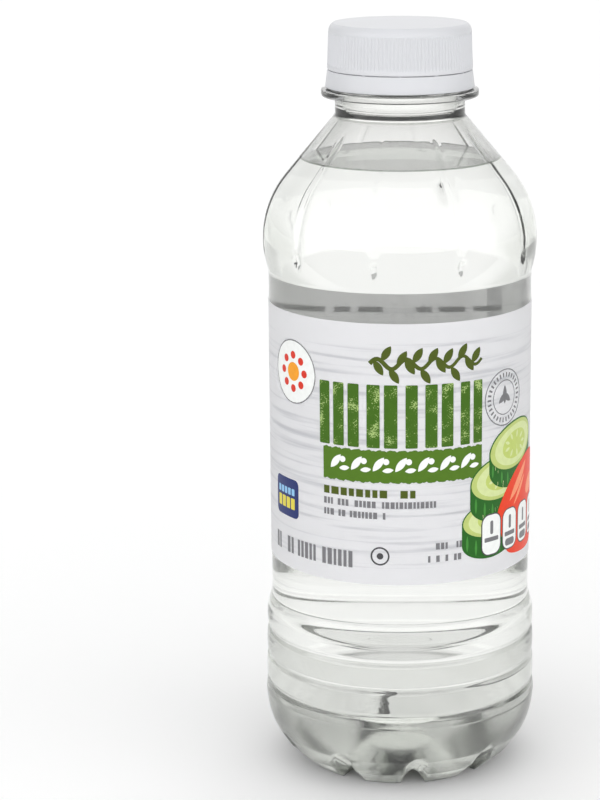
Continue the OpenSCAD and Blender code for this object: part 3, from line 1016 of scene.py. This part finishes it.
class BOTTLE_OT_print(bpy.types.Operator):
    """Prints the plain shapes and fields of colour on the label"""
    bl_idname = "bottle.print"
    bl_label = "Label print"

    def execute(self, context):
        sizes = context.scene.bottle_label
        tones = {
            "letterpress_green": sizes.leaf_green, "banner_green": sizes.banner_green,
            "stem_green": sizes.stem_green, "grey": sizes.text_grey, "pale_grey": "CBCCC9",
            "white": "F2F4F2", "blue": sizes.badge_blue, "sky_blue": "8FC3EA", "yellow": "E0D24A",
            "orange": "F4A01E", "red": "D8321E", "cucumber_skin": sizes.skin_green,
            "cucumber_flesh": sizes.flesh_green, "cucumber_pith": "D3DFA0", "cucumber_core": "BFCF6E",
            "cucumber_stripe": "3F8A34", "tomato": sizes.tomato_red, "tomato_highlight": "F7946A",
            "dark": "4A4A4C",
        }
        flecks = {"letterpress_green": "9DB56E"}
        for name, value in tones.items():
            ink(name, value, flecks.get(name))
        rng = random.Random(11)
        self.title()
        self.small_print(rng)
        self.badges()
        self.vegetables(rng)
        self.back(rng)
        return {"FINISHED"}

    def title(self):
        """Upright bars in five groups, a leafy stem over them and a torn-edged banner under them."""
        bars = []
        gap = 1.0
        for x0, x1, n in ((-20.4, -9.9, 3), (-8.0, -0.6, 2), (1.3, 4.2, 1), (6.0, 13.0, 2), (14.9, 21.0, 2)):
            pitch = (x1 - x0 + gap) / n
            for k in range(n):
                x = x0 + k * pitch
                bars.append(box(x, x + pitch - gap, 33.9, 49.3, 0.25, 2))
        printed("bars", bars, 1, "letterpress_green")

        x0, x1 = -7.2, 20.7
        stem = [(x0 + (x1 - x0) * k / 60, 54.4 + 1.2 * math.sin(k * 0.42)) for k in range(61)]
        shapes = ribbon(stem, lambda t: 1.1 - 0.35 * t)
        for k in range(2, 58, 4):
            x, y = stem[k]
            side = 1 if (k // 4) % 2 else -1
            shapes.append(leaf(x, y, 4.3, 1.9, 58 * side))
        printed("stem", shapes, 1, "stem_green")

        def torn(y, x):
            return y + 0.16 * math.sin(x * 2.3) + 0.12 * math.sin(x * 5.1 + y)

        steps = [-19.4 + 40.4 * k / 80 for k in range(81)]
        edge = [(x, torn(25.4, x)) for x in steps] + [(x, torn(33.3, x)) for x in reversed(steps)]
        printed("banner", [edge], 1, "banner_green")
        garland = []
        for k in range(7):
            x = -15.6 + 5.4 * k
            garland.append(leaf(x - 1.7, 28.2, 4.4, 1.7, 52))
            garland.append(disc(x + 1.5, 30.6, 0.75))
            garland.append(leaf(x + 0.6, 28.3, 2.7, 1.2, 8))
        printed("garland", garland, 2, "white")

    def small_print(self, rng):
        """Rows of dashes where the label has its lines of small print."""
        printed("green_dashes", dashes(-19.3, 4.6, 22.6, 1.9, 1.6, 0.55, rng), 1, "stem_green")
        fine = (1.6, 0.75, 0.3)
        rows = ((-19.3, 8.7, 19.9, *fine), (-19.3, -3.1, 17.2, *fine), (-38.8, -10.5, 5.9, 4.1, 1.0, 0.5),
                (8.7, 15.5, 9.4, *fine), (5.8, 15.5, 6.3, *fine))
        grey = [dash for row in rows for dash in dashes(*row, rng)]
        printed("grey_dashes", grey, 1, "grey")
        printed("ring", ring(-4.8, 7.2, 2.3, 0.4) + [disc(-4.8, 7.2, 0.8)], 1, "dark")

    def badges(self):
        """A round badge, a ticked seal and a square badge."""
        cx, cy = -29.5, 49.7
        printed("badge_rim", ring(cx, cy, 7.85, 0.3), 1, "grey")
        printed("badge_disc", [disc(cx, cy, 7.6)], 1, "white")
        printed("badge_middle", [disc(cx, cy, 2.3)], 2, "orange")
        rays = [disc(cx + 4.1 * math.cos(a), cy + 4.1 * math.sin(a), 0.95) for a in around(8)]
        printed("badge_rays", rays, 2, "red")

        cx, cy = 28.8, 43.5
        seal = ring(cx, cy, 7.0, 0.28) + ring(cx, cy, 4.3, 0.22)
        for a in around(30):
            near, far = ((cx + r * math.cos(a), cy + r * math.sin(a)) for r in (5.0, 6.1))
            seal += ribbon([near, far], lambda t: 0.45)
        seal += [leaf(cx - 2.2, cy - 1.2, 3.6, 1.5, 40), leaf(cx + 2.2, cy - 1.2, 3.6, 1.5, 140),
                 leaf(cx, cy - 1.6, 4.6, 1.5, 90)]
        printed("seal", seal, 1, "grey")

        printed("square_badge", [box(-38.3, -27.9, 12.9, 22.6, 1.4)], 1, "blue")
        for name, tone, n, pitch, wide, low, high, r in (
            ("sky_bars", "sky_blue", 5, 1.62, 1.2, 18.5, 20.2, 0.15),
            ("yellow_bars", "yellow", 4, 2.05, 1.6, 15.0, 17.8, 0.2),
        ):
            left = [-37.2 + pitch * k for k in range(n)]
            printed(name, [box(x, x + wide, low, high, r, 2) for x in left], 2, tone)

    def vegetables(self, rng):
        """A leaning stack of three cucumber slices, a tomato and the small tabs in front."""
        slices = ((25.0, 14.4, 9.6, 4.8, 5.2, 4), (27.6, 24.0, 10.0, 5.6, 5.0, 7),
                  (33.6, 31.0, 10.3, 6.0, 4.2, 9))
        # Each round's name, its shift, its share of the slice both ways, its points and its layer
        rounds = (("flesh", 0.0, 0.965, 0.94, 60, 1), ("pith", 0.2, 0.83, 0.8, 60, 1.3),
                  ("core", 0.3, 0.56, 0.56, 48, 1.5))
        for k, (cx, cy, rx, ry, deep, tilt) in enumerate(slices):
            layer = 1 + 2 * k
            body = hull(disc(cx, cy - deep, rx, ry, tilt, 60) + disc(cx, cy, rx, ry, tilt, 60))
            printed(f"skin_{k + 1}", [body], layer, "cucumber_skin")
            stripes = []
            for j in range(7):
                x = cx - rx * 0.85 + rx * 0.28 * j + rng.uniform(-0.3, 0.3)
                drop = ry * math.sqrt(max(0.0, 1 - ((x - cx) / rx) ** 2))
                stripes.append(leaf(x, cy - drop - deep * 0.95, deep * 0.8, 0.7, 90))
            printed(f"skin_light_{k + 1}", stripes, layer + 0.5, "cucumber_stripe")
            for part, shift, wide, high, n, over in rounds:
                shape = disc(cx + shift, cy, rx * wide, ry * high, tilt, n)
                printed(f"{part}_{k + 1}", [shape], layer + over, f"cucumber_{part}")
            seeds = []
            for a in around(9):
                x, y = cx + 0.3 + rx * 0.38 * math.cos(a), cy + ry * 0.38 * math.sin(a)
                seeds.append(leaf(x - 0.9 * math.cos(a), y - 0.9 * math.sin(a), 2.0, 0.8, math.degrees(a)))
            printed(f"seeds_{k + 1}", seeds, layer + 1.7, "cucumber_pith")

        fruit = [(31.3, 3.9), (29.0, 7.0), (27.0, 11.5), (26.4, 14.6), (27.6, 17.4), (30.4, 21.0),
                 (34.2, 24.3), (39.0, 26.6), (44.5, 27.2), (50.0, 25.6), (54.2, 21.6), (56.0, 16.0),
                 (54.6, 10.0), (50.6, 5.6), (45.0, 3.2), (38.0, 2.8)]
        printed("tomato", [smooth(fruit)], 8, "tomato")
        printed("tomato_glow", [leaf(31.2, 17.0, 12.5, 2.3, 42), leaf(33.2, 15.6, 9.0, 1.2, 46),
                                      disc(44.0, 18.5, 3.4, 2.0, 25)], 8.5, "tomato_highlight")
        tabs = [(21.3, 27.4), (28.5, 34.3), (35.6, 41.6), (42.9, 48.9)]
        printed("tab_lines", [box(a - 0.3, b + 0.3, 4.9, 15.4, 2.4) for a, b in tabs], 9, "dark")
        printed("tabs", [box(a, b, 5.2, 15.1, 2.1) for a, b in tabs], 9.5, "white")
        marks = []
        for k, (a, b) in enumerate(tabs):
            cx = (a + b) / 2
            marks.append(box(cx - 0.5, cx + 0.5, 10.2, 13.6, 0.4))
            marks.append(box(a + 0.7, b - 0.7, 8.4, 9.5, 0.2))
            if k:
                marks.append(box(a + 0.9, b - 0.9, 5.9, 7.7, 0.8))
        printed("tab_marks", marks, 10, "grey")

    def back(self, rng):
        """A ruled panel, lines of dashes and uneven bars on the side and back that face away."""
        x0, x1, y0, y1 = 55.0, 78.0, 8.0, 56.0
        sides = (((x0, y0), (x1, y0)), ((x0, y1), (x1, y1)), ((x0, y0), (x0, y1)), ((x1, y0), (x1, y1)))
        panel = [quad for side in sides for quad in ribbon(side, lambda t: 0.35)]
        for k in range(11):
            y = y0 + 4 + 3.6 * k
            thick = 0.9 if k in (3, 8) else 0.22
            panel.append(box(x0 + 1.2, x1 - 1.2, y - thick / 2, y + thick / 2))
            panel += dashes(x0 + 1.5, x0 + 9 + 5 * rng.random(), y + 1.8, 1.3, 0.8, 0.32, rng)
            panel += dashes(x1 - 4.4, x1 - 1.4, y + 1.8, 1.3, 0.8, 0.32, rng)
        printed("panel", panel, 1, "dark")
        lines = []
        for start, end, y, n in ((-84, -56, 55, 9), (-112, -90, 52, 5)):
            for k in range(n):
                lines += dashes(start, end - 6 * rng.random(), y - 2.9 * k, 1.4, 0.85, 0.34, rng)
        printed("lines", lines, 1, "dark")
        bars, x = [], -82.0
        while x < -58:
            w = rng.choice((0.3, 0.3, 0.6, 0.9))
            bars.append(box(x, x + w, 8, 24))
            x += w + rng.choice((0.35, 0.35, 0.7))
        printed("uneven_bars", bars, 1, "dark")
        printed("pale_dashes", dashes(82, 121, 57.4, 1.4, 2.6, 1.0, rng), 1, "pale_grey")
        printed("back_band", [box(-112, -90, 14, 30, 1.0)], 1, "banner_green")


class BOTTLE_OT_stage(bpy.types.Operator):
    """Lays the pale floor, sets the soft light and the camera"""
    bl_idname = "bottle.stage"
    bl_label = "Stage"

    def execute(self, context):
        self.floor()
        self.light()
        self.camera(context)
        return {"FINISHED"}

    def floor(self):
        reach = 6.0
        obj = new_object(
            "floor", [(-reach, -reach, 0), (reach, -reach, 0), (reach, reach, 0), (-reach, reach, 0)],
            faces=[(0, 1, 2, 3)],
        )
        obj.data.materials.append(self.acrylic())

    def acrylic(self):
        """Matt white acrylic sheet with painted shade: a white lane that widens away from the front, painted
        greyer past its sides, and painted shade under the foot.
        """
        material, tree, place = new_material("matt_white_acrylic_with_painted_shade")
        parts = split(tree, place)
        widening = -0.18
        past = sums(tree, "MULTIPLY_ADD", parts["Y"], widening, sums(tree, "ABSOLUTE", parts["X"]))
        behind = ramp(tree, parts["Y"], -0.2, -0.05)
        # Painted shade: the floor turns grey behind the bottle, past the sides of the white lane
        painted_side_shade = sums(tree, "MULTIPLY", ramp(tree, past, 0.125, 0.6), behind)
        tone = blend(tree, painted_side_shade, "FEFEFE", "E2E3E1")
        # Painted shade under the foot, where the floor gets little light
        far = aimed(tree, "LENGTH", place, output="Value")
        tone = blend(tree, ramp(tree, far, 0.016, 0.025), "D0D1CE", tone)
        return principled(material, tone, 0.9, Specular_IOR_Level=0.0)

    def light(self):
        """Soft light from in front and from over the back, greyer behind to the sides."""
        world = bpy.data.worlds.new("studio")
        tree = emptied(world)
        way = node(tree, "ShaderNodeTexCoord").outputs["Generated"]
        parts = split(tree, way)

        def lobe(x, y, z, low, high, strength):
            near = aimed(tree, "DOT_PRODUCT", way, Vector((x, y, z)).normalized(), output="Value")
            return ramp(tree, near, low, high, 1.0, strength)

        flat = combined(tree, X=parts["X"], Y=parts["Y"])
        course = split(tree, aimed(tree, "NORMALIZE", flat))
        across = ramp(tree, sums(tree, "ABSOLUTE", course["X"]), 0.5, 0.85)
        side = sums(tree, "MULTIPLY", across, ramp(tree, course["Y"], -0.3, 0.1))
        low = ramp(tree, parts["Z"], 0.3, 0.75, 1.0, 0.0)
        ceiling, wall, corner = ((*tone, 1.0) for tone in ((0.47,) * 3, (0.9,) * 3, (0.33, 0.34, 0.33)))
        tone = blend(tree, low, ceiling, wall)
        tone = blend(tree, sums(tree, "MULTIPLY", side, low), tone, corner)
        front, over = lobe(0, -1, 0.1, -0.6, 0.4, 2.0), lobe(0, 0.7, 0.7, 0.7, 0.97, 2.1)
        strength = sums(tree, "MULTIPLY", front, over)
        back = node(tree, "ShaderNodeBackground", {"Color": tone, "Strength": strength})
        node(tree, "ShaderNodeOutputWorld", {"Surface": back.outputs[0]})
        bpy.context.scene.world = world

    def camera(self, context):
        data = bpy.data.cameras.new("camera")
        data.sensor_width = 36.0
        data.lens = 113.94
        data.shift_x = -0.125
        data.clip_start, data.clip_end = 0.01, 50.0
        obj = bpy.data.objects.new("camera", data)
        obj.location = (0, -0.6096, 0.2450)
        obj.rotation_euler = (math.radians(90 - 14.1), 0, 0)
        context.scene.collection.objects.link(obj)
        context.scene.camera = obj


OPERATORS = (
    BOTTLE_OT_shell, BOTTLE_OT_drink, BOTTLE_OT_cap, BOTTLE_OT_band, BOTTLE_OT_label, BOTTLE_OT_print,
    BOTTLE_OT_stage,
)


class BOTTLE_PT_panel(bpy.types.Panel):
    """Lists the sizes and the pieces of the bottle"""
    bl_label = "Vinegar Bottle"
    bl_idname = "BOTTLE_PT_panel"
    bl_space_type = "VIEW_3D"
    bl_region_type = "UI"
    bl_category = "Bottle"

    def draw(self, context):
        for name, group in GROUPS.items():
            column = self.layout.column(align=True)
            for prop in group.__annotations__:
                column.prop(getattr(context.scene, name), prop)
        for operator in OPERATORS:
            self.layout.operator(operator.bl_idname)


def register():
    for cls in (*GROUPS.values(), *OPERATORS, BOTTLE_PT_panel):
        bpy.utils.register_class(cls)
    for name, group in GROUPS.items():
        setattr(bpy.types.Scene, name, bpy.props.PointerProperty(type=group))


def unregister():
    for name in GROUPS:
        delattr(bpy.types.Scene, name)
    for cls in (BOTTLE_PT_panel, *reversed(OPERATORS), *reversed(GROUPS.values())):
        bpy.utils.unregister_class(cls)


def main():
    register()
    scene = bpy.context.scene
    scene.view_settings.view_transform = "Standard"
    # Light crosses up to a dozen clear walls before it reaches the inside of the label and comes back
    scene.cycles.max_bounces = 32
    scene.cycles.transmission_bounces = 32
    scene.cycles.diffuse_bounces = 8
    for operator in OPERATORS:
        group, name = operator.bl_idname.split(".")
        getattr(getattr(bpy.ops, group), name)()
    bpy.context.view_layer.update()


if __name__ == "__main__":
    main()
